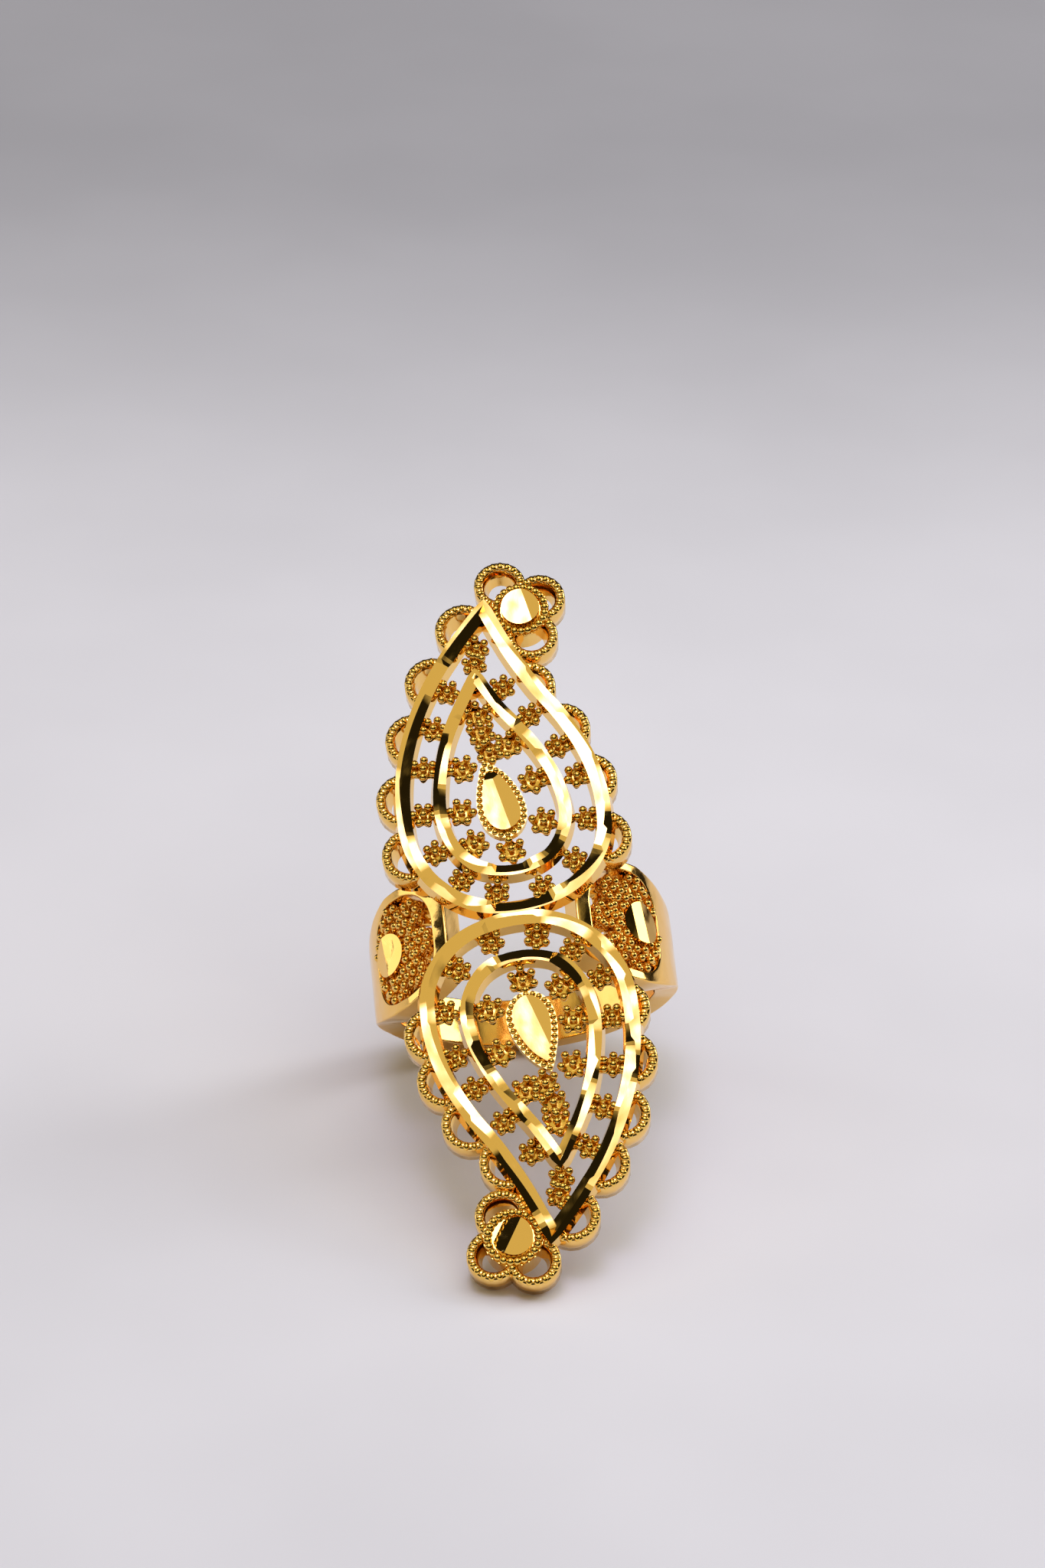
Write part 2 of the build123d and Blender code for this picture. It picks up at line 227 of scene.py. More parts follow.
class BandSizes(bpy.types.PropertyGroup):
    """Sizes of the finger hole, the band and the shoulders."""
    finger_radius: length("Finger radius", "Inside radius of the band", 8.3 * MM)
    band_wall: length("Band wall", "Thickness of the band at the back", 1.15 * MM)
    band_width: length("Band width", "Width of the band at the back", 3.3 * MM)
    shoulder_wall: length("Shoulder wall", "Thickness of the wall at the shoulders", 2.05 * MM)
    shoulder_width: length("Shoulder width", "Width of the shoulders along the finger", 8.2 * MM)
    strip_inner: length("Strip", "Distance of the rim strip from the middle of the face", 4.2 * MM)
    shank_turn: angle("Turn", "How far the shank is turned about the finger", 2.5)
    edge_round: length("Edge rounding", "Rounding of the outer edges", 0.5 * MM)


class PanelSizes(bpy.types.PropertyGroup):
    """Sizes of the shoulder windows and what fills them."""
    window_length: length("Window length", "Length of a window round the finger", 6.1 * MM)
    window_width: length("Window width", "Width of a window along the finger", 6.9 * MM)
    window_corner: length("Window corner", "Corner radius of a window", 2.4 * MM)
    window_angle: angle("Window angle", "How far round from the face a window sits", 47.2)
    rosette_radius: length("Rosette radius", "Reach of a panel rosette", 1.0 * MM)
    disc_radius: length("Disc radius", "Radius of the panel disc", 1.42 * MM)
    rise: length("Rise", "How far the filling stands proud of the wall", 0.2 * MM)


class FaceSizes(bpy.types.PropertyGroup):
    """Sizes of the face, its frames and its centre drops."""
    depth: length("Depth", "Depth of the face's rim of loops", 2.4 * MM)
    lattice_depth: length("Lattice", "Depth of frames, drops and rosettes", 1.0 * MM)
    teardrop_length: length("Teardrop length", "Middle of the face to a teardrop's point", 21.6 * MM)
    teardrop_half_width: length("Half width", "Half the width of a teardrop", 6.6 * MM)
    outer_width: length("Outer frame", "Width of the outer frames on top", 0.94 * MM)
    inner_width: length("Inner frame", "Width of the inner frames on top", 0.82 * MM)
    cut_step: length("Cut step", "Distance between two sections of a frame", 0.3 * MM)
    cut_run: length("Cut run", "How far one cut runs over into the next", 0.45 * MM)
    splay: length("Splay", "How much wider a frame is at its foot, on each side", 0.18 * MM)
    drop_facet: length("Drop facet", "Length of one straight run of a drop's outline", 0.28 * MM)
    drop_border: length("Drop border", "Width of the border round a centre drop", 0.4 * MM)
    drop_bead: length("Drop bead", "Radius of a bead round a centre drop", 0.21 * MM)


class GranuleSizes(bpy.types.PropertyGroup):
    """Sizes of rosettes, granules, beaded wires and end flowers."""
    rosette_radius: length("Rosette radius", "Reach of a channel rosette", 0.9 * MM)
    field_rosette_radius: length("Field rosette", "Reach of a rosette inside an inner frame", 1.02 * MM)
    granule_radius: length("Granule", "Radius of one granule", 0.275 * MM)
    rosette_drop: length("Rosette drop", "How far the rosettes lie below the frames", 0.2 * MM)
    scallop_radius: length("Scallop radius", "Outside radius of a scallop", 1.85 * MM)
    petal_radius: length("Petal radius", "Outside radius of a petal", 1.7 * MM)
    wire_width: length("Wire width", "Width of a loop's wire", 0.6 * MM)
    wire_flare: length("Wire flare", "How much wider a loop's wall is at its foot, inside", 0.3 * MM)
    wire_drop: length("Wire drop", "How far the loops lie below the frames", 0.45 * MM)
    wire_bead: length("Wire bead", "Radius of a bead on a wire", 0.27 * MM)
    bead_pitch: length("Bead pitch", "Distance from bead to bead along a wire", 0.43 * MM)
    disc_radius: length("Disc radius", "Radius of an end flower's disc", 1.25 * MM)
    disc_border: length("Disc border", "Width of the border round an end disc", 0.7 * MM)
    disc_bead: length("Disc bead", "Radius of a bead round an end disc", 0.29 * MM)


class GoldFinish(bpy.types.PropertyGroup):
    """Colours and polish of the plating."""
    bright: colour("Bright gold", "Colour of the plating where it is polished", (1.0, 0.65, 0.2))
    grain: colour("Grained gold", "Colour of granules and beads", (1.0, 0.64, 0.14))
    # painted shade: the deeper, warmer gold that the plating is mixed towards low in the openwork, where
    # shade falls
    painted_shade_gold: colour("Warm gold", "Colour of the plating low down in the openwork", (1.0, 0.58, 0.13))
    cut_roughness: share("Cut roughness", "Roughness of the bright cuts", 0.05)
    polish_roughness: share("Polish roughness", "Roughness of the polished band", 0.12)
    grain_roughness: share("Grain roughness", "Roughness of granules and beads", 0.15)


class StudioSettings(bpy.types.PropertyGroup):
    """The floor, the lights and the camera."""
    floor_colour: colour("Floor", "Colour of the floor", (0.85, 0.855, 0.93))
    key_power: power("Key", "Strength of the softbox overhead", 2.05)
    key_colour: colour("Key colour", "Colour of the softbox overhead", (0.9, 0.92, 1.0))
    side_power: power("Side", "Strength of the softbox on the right", 1.3)
    far_share: share("Far side", "Strength of the softbox on the left, as a share of the right one's", 0.4)
    camera_distance: length("Distance", "From the camera to the middle of the face", 300 * MM)
    camera_pitch: angle("Pitch", "How far the camera leans down from straight above the face", 24.5)
    camera_yaw: angle("Yaw", "How far the camera stands to the right of the face", 0)
    camera_roll: angle("Roll", "How far the face leans in the picture", 6.4)


GROUPS = {
    "ring_band": BandSizes,
    "ring_panel": PanelSizes,
    "ring_face": FaceSizes,
    "ring_granules": GranuleSizes,
    "ring_gold": GoldFinish,
    "ring_studio": StudioSettings,
}


def sizes(name):
    """One group of settings of the scene."""
    return getattr(bpy.context.scene, "ring_" + name)


def bore_height():
    """The height of the finger's axis on the bench."""
    return -(sizes("face").depth + sizes("band").finger_radius)


def laid_down():
    """The move from the bench to the ground, read from the finger hole that the record states."""
    bore = next(mount for mount in frame["record"]["mounts"] if mount["name"] == "finger_bore")
    finger = Vector(bore["axis"]).normalized()
    across = Vector((finger.z, 0, -finger.x)).normalized()
    out = across.cross(finger)
    middle = Vector(bore["pos_m"]) - out * bore_height()
    turn = Matrix((across, finger, out)).transposed().to_4x4()
    return Matrix.Translation(middle) @ turn


# plan of the face

def placed(row):
    """A table row as a point of the upper teardrop."""
    face = sizes("face")
    return Vector((row[0] * face.teardrop_half_width, row[1] * face.teardrop_length))


def smooth(rows, steps=8):
    """A closed curve through the rows, sharp at the first one, in so many steps from row to row."""
    points = [placed(row) for row in rows]
    count = len(points)
    curve = []
    for index in range(count):
        before = points[index - 1] if index else points[0]
        start, end = points[index], points[(index + 1) % count]
        after = points[(index + 2) % count] if index + 1 < count else end
        for step in range(steps):
            t = step / steps
            curve.append(
                before * ((-t + 2 * t * t - t**3) / 2)
                + start * ((2 - 5 * t * t + 3 * t**3) / 2)
                + end * ((t + 4 * t * t - 3 * t**3) / 2)
                + after * ((t**3 - t * t) / 2)
            )
    return curve


def spaced(path, count, closed=True):
    """As many points at even distances along a path."""
    line = path + path[:1] if closed else path
    runs = [(b - a).length for a, b in zip(line, line[1:])]
    parts = count if closed else count - 1
    points, passed, run = [], 0.0, 0
    for index in range(count):
        goal = index * sum(runs) / parts
        while run < len(runs) - 1 and passed + runs[run] < goal:
            passed += runs[run]
            run += 1
        points.append(line[run].lerp(line[run + 1], min(1, (goal - passed) / runs[run])))
    return points


def around(path):
    """The length of a closed path."""
    return sum((b - a).length for a, b in zip(path, path[1:] + path[:1]))


def outward(start, end):
    """The unit vector to the right of a run."""
    run = (end - start).normalized()
    return Vector((run.y, -run.x))


def mitres(corners, closed=True):
    """At each corner, the move that shifts both of its runs outwards by one."""
    count = len(corners)
    moves = []
    for index, corner in enumerate(corners):
        if not closed and index == 0:
            moves.append(outward(corner, corners[1]))
        elif not closed and index == count - 1:
            moves.append(outward(corners[-2], corner))
        else:
            before = outward(corners[index - 1], corner)
            after = outward(corner, corners[(index + 1) % count])
            moves.append((before + after) / max(LEAST_MITRE, 1 + before.dot(after)))
    return moves


def inside(point, corners):
    """Whether a point lies inside a closed outline."""
    hit = False
    for a, b in zip(corners, corners[1:] + corners[:1]):
        if (a.y > point.y) != (b.y > point.y):
            hit ^= point.x < a.x + (point.y - a.y) / (b.y - a.y) * (b.x - a.x)
    return hit


def round_point(centre, radius, bearing):
    """A point at a radius and bearing from a centre in the plan."""
    return centre + Vector((cos(bearing), sin(bearing))) * radius


def circle(centre, radius, steps=DISC_SIDES):
    """Points at even distances round a centre in the plan."""
    return [round_point(centre, radius, 2 * pi * k / steps) for k in range(steps)]


# working at the bench

def set_apart():
    """Leaves nothing selected."""
    if bpy.context.object and bpy.context.object.mode != "OBJECT":
        bpy.ops.object.mode_set(mode="OBJECT")
    bpy.ops.object.select_all(action="DESELECT")


def taken_up(piece, *others):
    """Selects these pieces and nothing else, with the first one active."""
    set_apart()
    for each in (piece, *others):
        each.select_set(True)
    bpy.context.view_layer.objects.active = piece


def chosen(mesh, test):
    """Selects only the faces that pass a test, in edit mode."""
    bpy.ops.mesh.select_mode(type="FACE")
    for face in mesh.faces:
        face.select_set(test(face))
    mesh.select_flush_mode()


def put_down(name):
    """Names the piece in hand, closes its seams and leaves edit mode."""
    piece = bpy.context.object
    bpy.ops.mesh.select_mode(type="VERT")
    bpy.ops.mesh.select_all(action="SELECT")
    bpy.ops.mesh.remove_doubles(threshold=SEAM)
    bpy.ops.mesh.normals_make_consistent(inside=False)
    bpy.ops.object.mode_set(mode="OBJECT")
    piece.name = piece.data.name = name
    return piece


def followed(piece, row):
    """The vertices that an extrusion drew out of a row, in the row's order."""
    mesh = bmesh.from_edit_mesh(piece.data)
    mesh.verts.index_update()
    mesh.verts.ensure_lookup_table()
    drawn = []
    for index in row:
        start = mesh.verts[index]
        ends = (edge.other_vert(start) for edge in start.link_edges)
        drawn.append(next(end.index for end in ends if end.select))
    return drawn


def moved(piece, row, points):
    """Puts a row of vertices at their points."""
    mesh = bmesh.from_edit_mesh(piece.data)
    mesh.verts.ensure_lookup_table()
    for vertex, point in zip(row, points):
        mesh.verts[vertex].co = point


def only_edges(piece, test):
    """Selects the edges that pass a test, and nothing else."""
    bpy.ops.mesh.select_mode(type="EDGE")
    bpy.ops.mesh.select_all(action="DESELECT")
    mesh = bmesh.from_edit_mesh(piece.data)
    mesh.verts.index_update()
    for edge in mesh.edges:
        edge.select_set(test(edge))
    bmesh.update_edit_mesh(piece.data)


def loft(name, sections, closed=False):
    """A skin through sections of as many points each. A closed run joins up, and an open one is capped."""
    set_apart()
    bpy.ops.mesh.primitive_circle_add(vertices=len(sections[0]), fill_type="NOTHING", enter_editmode=True)
    piece = bpy.context.object
    row = first = list(range(len(sections[0])))
    moved(piece, row, sections[0])
    for section in list(sections[1:]) + ([sections[0]] if closed else []):
        bpy.ops.mesh.extrude_edges_move()
        row = followed(piece, row)
        moved(piece, row, section)
    if not closed:
        for rim in (set(first), set(row)):
            only_edges(piece, lambda edge: all(vertex.index in rim for vertex in edge.verts))
            bpy.ops.mesh.edge_face_add()
    return put_down(name)


def joined(name, pieces):
    """Several pieces as one."""
    taken_up(*pieces)
    if len(pieces) > 1:
        bpy.ops.object.join()
    pieces[0].name = pieces[0].data.name = name
    return pieces[0]


def shaded_smooth(piece, limit):
    """Smooth faces that break at edges sharper than the limit, in degrees."""
    taken_up(piece)
    bpy.ops.object.shade_smooth_by_angle(angle=radians(limit))
    return piece


def strewn(name, seed, places):
    """A seed piece repeated at every place, as one mesh. The seed itself is used up."""
    count = len(seed.data.vertices)
    points = np.empty(count * 3, np.float32)
    seed.data.vertices.foreach_get("co", points)
    points = np.c_[points.reshape(-1, 3), np.ones(count)]
    corners = [tuple(face.vertices) for face in seed.data.polygons]
    vertices = np.concatenate([(points @ np.array(place).T)[:, :3] for place in places])
    faces = [tuple(v + copy * count for v in face) for copy in range(len(places)) for face in corners]
    mesh = bpy.data.meshes.new(name)
    mesh.from_pydata(vertices.tolist(), [], faces)
    mesh.polygons.foreach_set("use_smooth", [True] * len(faces))
    piece = bpy.data.objects.new(name, mesh)
    bpy.context.scene.collection.objects.link(piece)
    bpy.data.meshes.remove(seed.data)
    return piece


def on_finger(piece):
    """The piece turned about the finger with the shank, in its mesh."""
    middle = Matrix.Translation((0, 0, bore_height()))
    piece.data.transform(middle @ Matrix.Rotation(-sizes("band").shank_turn, 4, "Y") @ middle.inverted())
    return piece


def turned(piece, turn):
    """The piece turned about the ring's Z, in its mesh."""
    piece.data.transform(Matrix.Rotation(turn, 4, "Z"))
    return piece


def finished(piece, material):
    """Gives a piece its gold and lays it on the ground, in place of the plain solid."""
    piece.data.transform(laid_down())
    piece.data.materials.clear()
    piece.data.materials.append(material)
    piece.data.update()
    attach(piece, "root")
    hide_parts(NODE)


# shader maths

class Socket:
    """A shader value that can be reckoned with."""

    def __init__(self, paint, link):
        self.paint = paint
        self.link = link

    def math(self, operation, *values):
        """A Math node on this value."""
        return self.paint.node("ShaderNodeMath", {"operation": operation}, dict(enumerate((self, *values))))

    def __add__(self, other):
        return self.math("ADD", other)

    def __sub__(self, other):
        return self.math("SUBTRACT", other)

    def __rsub__(self, other):
        return self.paint.node("ShaderNodeMath", {"operation": "SUBTRACT"}, {0: other, 1: self})

    def __mul__(self, other):
        return self.math("MULTIPLY", other)

    __radd__ = __add__
    __rmul__ = __mul__

    def fit(self, low, high, to_low=0.0, to_high=1.0):
        """This value, from low to high, as to_low to to_high, held at the ends."""
        settings = {"interpolation_type": "SMOOTHSTEP"}
        values = {0: self, 1: low, 2: high, 3: to_low, 4: to_high}
        return self.paint.node("ShaderNodeMapRange", settings, values)


class Paint:
    """A material or world in the making."""

    def __init__(self, owner):
        owner.use_nodes = True
        self.tree = owner.node_tree
        self.tree.nodes.clear()

    def node(self, kind, settings=None, values=None, output=0):
        """A node with its settings and its sockets' values or links; returns one output."""
        made = self.tree.nodes.new(kind)
        for name, value in (settings or {}).items():
            setattr(made, name, value)
        for name, value in (values or {}).items():
            if isinstance(value, Socket):
                self.tree.links.new(value.link, made.inputs[name])
            else:
                made.inputs[name].default_value = value
        return Socket(self, made.outputs[output]) if len(made.outputs) else None

    def mix(self, factor, first, second):
        """A mix of two colours."""
        return self.node(
            "ShaderNodeMix", {"data_type": "RGBA"}, {0: factor, 6: tint(first), 7: tint(second)}, output=2
        )

    def noise(self, place, scale, detail=2.0, stretch=None):
        """Noise at so many waves a metre."""
        if stretch:
            place = self.node("ShaderNodeMapping", {}, {"Vector": place, "Scale": stretch})
        return self.node("ShaderNodeTexNoise", {}, {"Vector": place, "Scale": scale, "Detail": detail})

    def along(self, place, way):
        """How far a place lies along a way."""
        return self.node("ShaderNodeVectorMath", {"operation": "DOT_PRODUCT"}, {0: place, 1: way}, output=1)

    def end(self, kind, values, output="Material"):
        """Ends the tree in one shader."""
        shader = self.node("ShaderNode" + kind, {}, values)
        self.node("ShaderNodeOutput" + output, {}, {"Surface": shader})


def tint(value):
    """A colour with the alpha that a colour socket needs."""
    return value if isinstance(value, Socket) else (*value, 1)


def gold(name, roughness, scratches, mottle, waves, bright):
    """Plating: painted shade makes it deeper and warmer low in the openwork; uneven in polish, with slow
    waves and fine scratches.
    """
    material = bpy.data.materials.new(name)
    paint = Paint(material)
    place = paint.node("ShaderNodeTexCoord", output=3)
    lie = laid_down()
    out = lie.to_3x3() @ Vector((0, 0, 1))
    height = paint.along(place, out) - lie.translation.dot(out)
    # painted shade: lower in the openwork the colour is mixed towards a deeper, warmer gold, for the shade
    # and the light bounced between gold parts there; noise patches break it up
    painted_shade = height.fit(-sizes("face").depth, -0.5 * MM, 0.8, 0.0)
    patches = paint.noise(place, PATCH_WAVES, 3)
    streaks = paint.noise(place, STREAK_WAVES, 4, stretch=(1.0, 0.18, 1.0))
    swells = paint.noise(place, SWELL_WAVES, 1)
    base = paint.mix(painted_shade * patches.fit(0.3, 0.7, 0.7, 1.0), bright, sizes("gold").painted_shade_gold)
    rough = patches.fit(0.35, 0.75, roughness * (1 - mottle), roughness * (1 + mottle))
    slow = {"Strength": waves, "Distance": SWELL_DEPTH, "Height": swells}
    fine = {"Strength": scratches, "Distance": SCRATCH_DEPTH, "Height": streaks}
    fine["Normal"] = paint.node("ShaderNodeBump", {}, slow)
    bump = paint.node("ShaderNodeBump", {}, fine)
    paint.end("BsdfPrincipled", {"Base Color": base, "Metallic": 1.0, "Roughness": rough, "Normal": bump})
    return material


def gold_of(kind):
    """One of the three finishes of the plating, made when it is first asked for."""
    finish = sizes("gold")
    kinds = {  # name, roughness, scratches, mottle, waves, colour
        "cut": ("bright cut gold", finish.cut_roughness, 0.12, 0.5, 0.5, finish.bright),
        "polished": ("polished gold", finish.polish_roughness, 0.3, 0.5, 0.4, finish.bright),
        "granulated": ("granulated gold", finish.grain_roughness, 0.35, 0.4, 0.0, finish.grain),
    }
    return bpy.data.materials.get(kinds[kind][0]) or gold(*kinds[kind])


# shapes that repeat

def cut_shape(cuts, way, lag):
    """Both falls and the ridge, so far of the way round. The outer slope gives way before the inner."""
    starts = [cut[0] for cut in cuts] + [1]

    def cut_at(place):
        """The number of the cut that a place lies in."""
        return max(k for k, start in enumerate(starts[:-1]) if start <= place)

    def fall(column, ahead):
        """One slope's fall, which runs over into the next cut's within a short stretch."""
        place = (way + ahead) % 1
        index = cut_at(place)
        left = min(1, (starts[index + 1] - place) / lag)
        near, far = cuts[index][column], cuts[(index + 1) % len(cuts)][column]
        return near * left + far * (1 - left)

    index = cut_at(way)
    along = (way - starts[index]) / (starts[index + 1] - starts[index])
    first, last = cuts[index][3:]
    return fall(1, lag), fall(2, 0), first + (last - first) * along


def cut_frame(name, rows, cuts, width, turn):
    """A frame cut bright: the two slopes of each cut meet at a ridge and run out in slivers."""
    face = sizes("face")
    curve = smooth(rows)
    count = round(around(curve) / face.cut_step)
    points = spaced(curve, count)
    lag = face.cut_run / around(curve)
    half = width / 2
    sections = []
    for k, (point, move) in enumerate(zip(points, mitres(points))):
        outer, inner, ridge = cut_shape(cuts, k / count, lag)
        ridge *= half
        profile = (
            (half + face.splay, -face.lattice_depth),
            (half, -tan(radians(outer)) * (half - ridge)),
            (ridge, 0),
            (-half, -tan(radians(inner)) * (half + ridge)),
            (-half - face.splay, -face.lattice_depth),
        )
        sections.append([(*(point + move * across), height) for across, height in profile])
    piece = shaded_smooth(turned(loft(name, sections, closed=True), turn), limit=8)
    finished(piece, gold_of("cut"))


def falls(middle, cuts):
    """Cutting planes for a block, each as a point on it and its upward normal."""
    planes = []
    for bearing, fall, reach in cuts:
        along = Vector((cos(radians(bearing)), sin(radians(bearing))))
        fall = radians(fall)
        start = Vector((*(middle + along * reach * MM), 0))
        planes.append((start, Vector((*(along * sin(fall)), cos(fall)))))
    return planes


def cut_block(name, outline, low, high, cuts):
    """A block of one outline, cut bright on top by planes."""
    set_apart()
    bpy.ops.mesh.primitive_circle_add(vertices=len(outline), fill_type="NGON", enter_editmode=True)
    moved(bpy.context.object, range(len(outline)), [(*point, low) for point in outline])
    bpy.ops.mesh.extrude_region_move(TRANSFORM_OT_translate={"value": (0, 0, high - low)})
    for point, normal in cuts:
        bpy.ops.mesh.select_all(action="SELECT")
        bpy.ops.mesh.bisect(
            plane_co=point, plane_no=normal, use_fill=True, clear_outer=True, threshold=CUT_SEAM
        )
    return put_down(name)


def drop_outline(grow):
    """The outline of a centre drop, grown all round."""
    curve = smooth(CENTRE_DROP)
    corners = spaced(curve, round(around(curve) / sizes("face").drop_facet))
    return [corner + move * grow for corner, move in zip(corners, mitres(corners))]


def seed_granule(radius):
    """One granule: a ball a little flattened by its solder."""
    set_apart()
    bpy.ops.mesh.primitive_ico_sphere_add(subdivisions=2, radius=radius, enter_editmode=True)
    bpy.ops.mesh.select_all(action="SELECT")
    bpy.ops.transform.resize(value=(1, 1, FLATTENED))
    return put_down("granule")


def seed_post(reach, low, high):
    """The lobed post under a rosette, drawn in a little at its foot and at its top."""
    outline = []
    for k in range(LOBES * POINTS_PER_LOBE):
        bearing = 2 * pi * k / (LOBES * POINTS_PER_LOBE)
        radius = reach * (POST_WAIST + (1 - POST_WAIST) * (0.5 + 0.5 * cos(LOBES * bearing)))
        outline.append((radius * cos(bearing), radius * sin(bearing)))
    levels = (  # height, share of the width
        (low, 0.93), (low + 0.12 * MM, 1.0), (high - 0.1 * MM, 1.0), (high, 0.85),
    )
    return loft("post", [[(x * grow, y * grow, level) for x, y in outline] for level, grow in levels])


def flower_places(reach, granule, top):
    """Where the granules of a rosette at the origin sit: a middle one and stacks of them round it."""
    places = [Vector((0, 0, top - granule))]
    for drop, start, grow in GRANULE_ROWS:
        ring = grow * (reach - granule)
        for k in range(LOBES):
            bearing = 2 * pi * (k + start) / LOBES
            places.append(Vector((ring * cos(bearing), ring * sin(bearing), top - drop * granule)))
    return places


def rosettes(name, stands, reach, low, top, room=None):
    """Rosettes at their stands: a lobed post each, crowned with granules. A room keeps some of them out."""
    granule = sizes("granules").granule_radius
    uneven = np.random.default_rng(len(stands))
    crown = [place for place in flower_places(reach, granule, top) if place.z - granule > low]
    post = seed_post(reach * POST_REACH, low, top - POST_TOP * granule)
    posts = strewn(name + "_posts", post, stands)
    places = []
    for index, stand in enumerate(stands):
        for place in crown:
            place = place + Vector(uneven.normal(0, UNEVEN * granule, 3))
            if room is None or room(index, place):
                places.append(stand @ Matrix.Translation(place))
    granules = strewn(name + "_granules", seed_granule(granule), places)
    shaded_smooth(posts, limit=50)
    return joined(name, [posts, granules])


def face_stand(row):
    """The stand of a rosette on the face, with one lobe towards the middle of the centre drop."""
    x, y = placed(row)
    middle = placed(FIELD_MIDDLE)
    return Matrix.Translation((x, y, 0)) @ Matrix.Rotation(atan2(y - middle.y, x - middle.x), 4, "Z")


def beads_along(path, height, closed=False):
    """Stands for beads in a row along a plan path, each pointing along it."""
    total = around(path) - (0 if closed else (path[-1] - path[0]).length)
    count = max(2, round(total / sizes("granules").bead_pitch))
    points = spaced(path, count, closed)
    stands = []
    for index, point in enumerate(points):
        after = points[(index + 1) % count] if closed or index + 1 < count else point
        before = points[index - 1] if closed or index else point
        run = after - before
        turn = Matrix.Rotation(atan2(run.y, run.x), 4, "Z")
        stands.append(Matrix.Translation((*point, height)) @ turn)
    return stands


def free_arcs(centre, radius, others, outline):
    """The stretches of a circle that lie outside the frame and outside its neighbours."""
    steps = 120
    least = steps / 12
    ring = circle(centre, radius, steps)
    free = [
        not inside(point, outline) and all((point - near).length > reach for near, reach in others)
        for point in ring
    ]
    arcs = []
    for start in (k for k in range(steps) if free[k] and not free[k - 1]):
        run = 0
        while free[(start + run) % steps]:
            run += 1
        arcs.append([ring[(start + k) % steps] for k in range(run)])
    return [arc for arc in arcs if len(arc) > least]


def wire_wall(name, path, width, low, top):
    """The smooth wall under a beaded wire: a strip with soft edges, wider at its foot on the inner side."""
    points = spaced(path, max(5, len(path) // 5), closed=False)
    moves = mitres(points, closed=False)
    half, soft, flare = width / 2, 0.12 * MM, sizes("granules").wire_flare
    profile = (
        (-half - flare + soft, low), (half - soft, low), (half, low + soft), (half, (low + top) / 2),
        (half, top - soft), (half - soft, top), (-half + soft, top), (-half, top - soft),
        (-half - flare / 2, (low + top) / 2), (-half - flare, low + soft),
    )
    return loft(name, [
        [(*(point + move * across), height) for across, height in profile]
        for point, move in zip(points, moves)
    ])


def loops(name, circles, hidden, outline, turn):
    """Wire loops outside a frame: smooth walls, each with a row of beads on top."""
    wire = sizes("granules")
    low, top = -sizes("face").depth, -wire.wire_drop
    walls, stands = [], []
    middles = [(centre, radius - wire.wire_width / 2) for centre, radius in circles]
    for index, (centre, radius) in enumerate(middles):
        others = [middle for k, middle in enumerate(middles) if k != index] + hidden
        for arc in free_arcs(centre, radius, others, outline):
            walls.append(wire_wall("wall", arc, wire.wire_width, low, top - 0.6 * wire.wire_bead))
            stands += beads_along(arc, top - wire.wire_bead)
    wall = shaded_smooth(joined(f"{name}_walls", walls), limit=50)
    seed = seed_granule(wire.wire_bead)
    seed.data.transform(Matrix.Diagonal(BEAD_SHAPE))
    beads = strewn(f"{name}_beads", seed, stands)
    for piece, kind in ((wall, "polished"), (beads, "granulated")):
        finished(turned(piece, turn), gold_of(kind))


def beaded_border(name, outline, line, bead, low, sunk, turn):
    """A collar with a row of beads along a line on it. Its top lies so many bead radii below theirs."""
    top = -sizes("granules").rosette_drop
    collar = cut_block("collar", outline, low, top - sunk * bead, [])
    beads = strewn("beads", seed_granule(bead), beads_along(line, top - bead, closed=True))
    finished(turned(joined(name, [collar, beads]), turn), gold_of("granulated"))


# the shoulders and the band

def wall_radii():
    """The radius of the wall's outside, and how far its centre lies above the finger's axis."""
    band = sizes("band")
    radius = band.finger_radius + (band.band_wall + band.shoulder_wall) / 2
    return radius, (band.shoulder_wall - band.band_wall) / 2


def outer_reach(bearing):
    """How far the wall's outside lies from the finger's axis, at a bearing from straight up."""
    radius, lift = wall_radii()
    return lift * cos(bearing) + sqrt(radius**2 - (lift * sin(bearing)) ** 2)


def half_width(bearing):
    """Half the shank's width at a bearing, from its side outline."""
    band = sizes("band")
    radius, lift = wall_radii()
    drop = -(bore_height() + outer_reach(bearing) * cos(bearing)) / (radius - lift - bore_height())
    wides, drops = zip(*SHANK_SIDE)
    wide = float(np.interp(drop, drops, wides))
    return band.band_width / 2 + wide * (band.shoulder_width - band.band_width) / 2


def strip_bearing():
    """The bearing of the rim strip's inner side."""
    radius, lift = wall_radii()
    across = sizes("band").strip_inner
    return atan2(across, lift + sqrt(radius**2 - across**2))


def window_half():
    """Half a window's length and width, its corner radius, and how far from the finger's axis it sits."""
    panel = sizes("panel")
    reach = outer_reach(panel.window_angle)
    return panel.window_length / 2, panel.window_width / 2, panel.window_corner, reach


def window_outline(per_side=6, per_corner=4):
    """A shoulder window as bearings and places along the finger."""
    long, wide, corner, reach = window_half()
    points = []
    for quarter, (s, t) in enumerate(((1, 1), (-1, 1), (-1, -1), (1, -1))):
        middle = Vector((s * (long - corner), t * (wide - corner)))
        for k in range(per_corner + 1):
            points.append(round_point(middle, corner, pi / 2 * (quarter + k / per_corner)))
    line = []
    for a, b in zip(points, points[1:] + points[:1]):
        line.append(a)
        if (b - a).length > corner / 2:
            line += [a.lerp(b, k / per_side) for k in range(1, per_side)]
    return [(sizes("panel").window_angle + x / reach, y) for x, y in line]


